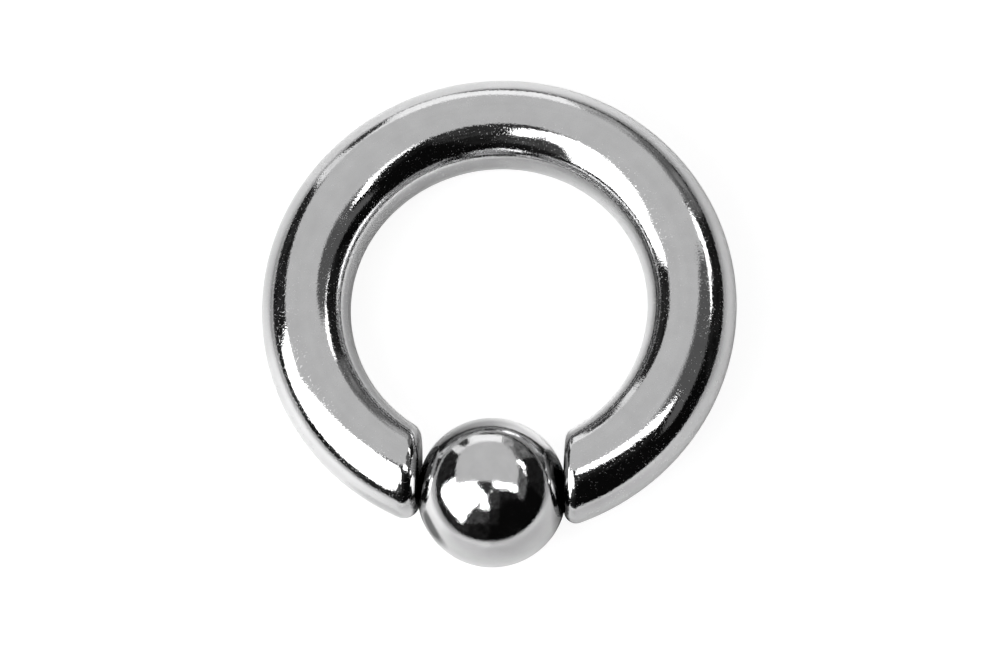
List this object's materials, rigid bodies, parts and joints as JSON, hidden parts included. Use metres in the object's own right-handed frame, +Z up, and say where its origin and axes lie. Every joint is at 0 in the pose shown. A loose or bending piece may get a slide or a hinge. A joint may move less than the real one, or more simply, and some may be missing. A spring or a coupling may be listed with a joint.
{
  "type": "captive bead ring",
  "caption": "Captive bead ring of thick round polished steel wire, with a ball held in shallow seats between its two flat ends, lying on its side.",
  "frame": {"origin": "centre of the bottom of the bounding box, on the surface that the ring lies on", "axes": "+Z up, away from the surface; +Y from the bead across the ring to the far side of the wire; +X to the right along the line through the two end faces"},
  "size_m": [0.032, 0.034, 0.01],
  "materials": {
    "ring_steel": "mirror polished surgical steel with faint fine wear marks",
    "bead_steel": "mirror polished surgical steel"
  },
  "bodies": {
    "ring": {"ring": "ring_steel"},
    "bead": {"bead": "bead_steel"}
  },
  "joints": [
    {"name": "bead_spin", "type": "hinge", "parent": "ring", "child": "bead", "pos_m": [0, -0.01196, 0.005], "axis": [1, 0, 0], "continuous": true}
  ]
}
